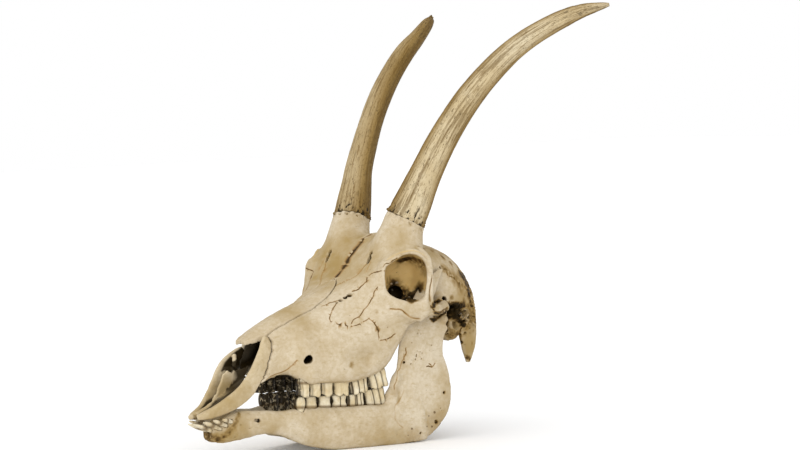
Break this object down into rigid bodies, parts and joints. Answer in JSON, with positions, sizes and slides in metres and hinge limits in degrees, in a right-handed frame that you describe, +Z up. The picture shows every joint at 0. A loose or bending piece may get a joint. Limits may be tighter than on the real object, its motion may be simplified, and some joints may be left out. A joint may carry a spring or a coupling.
{
  "type": "antelope skull",
  "caption": "Cleaned antelope skull with bare, back-curving horn cores, one broken at its tip, resting on its lower jaw with the tooth rows closed.",
  "frame": {"origin": "under the middle of the skull's bounding box, on the plane its lower jaw rests on", "axes": "+Z up, -Y towards the muzzle, +X towards the animal's left side"},
  "size_m": [0.1776, 0.3068, 0.2984],
  "materials": {
    "bone": "dry cleaned bone, matte with a faint sheen",
    "horn_core": "porous fibrous bone, matte",
    "tooth": "stained enamel, semi-gloss"
  },
  "bodies": {
    "root": {"cranium": "bone", "left_horn_core": "horn_core", "left_nasal_bone": "bone", "left_muzzle_bone": "bone", "left_lower_jaw": "bone", "left_upper_premolar_2": "tooth", "left_upper_premolar_3": "tooth", "left_upper_premolar_4": "tooth", "left_upper_molar_1": "tooth", "left_upper_molar_2": "tooth", "left_upper_molar_3": "tooth", "left_lower_premolar_2": "tooth", "left_lower_premolar_3": "tooth", "left_lower_premolar_4": "tooth", "left_lower_molar_1": "tooth", "left_lower_molar_2": "tooth", "left_lower_molar_3": "tooth", "left_incisor_1": "tooth", "left_incisor_2": "tooth", "left_incisor_3": "tooth", "left_canine": "tooth", "right_horn_core": "horn_core", "right_nasal_bone": "bone", "right_muzzle_bone": "bone", "right_lower_jaw": "bone", "right_upper_premolar_2": "tooth", "right_upper_premolar_3": "tooth", "right_upper_premolar_4": "tooth", "right_upper_molar_1": "tooth", "right_upper_molar_2": "tooth", "right_upper_molar_3": "tooth", "right_lower_premolar_2": "tooth", "right_lower_premolar_3": "tooth", "right_lower_premolar_4": "tooth", "right_lower_molar_1": "tooth", "right_lower_molar_2": "tooth", "right_lower_molar_3": "tooth", "right_incisor_1": "tooth", "right_incisor_2": "tooth", "right_incisor_3": "tooth", "right_canine": "tooth"}
  },
  "joints": []
}
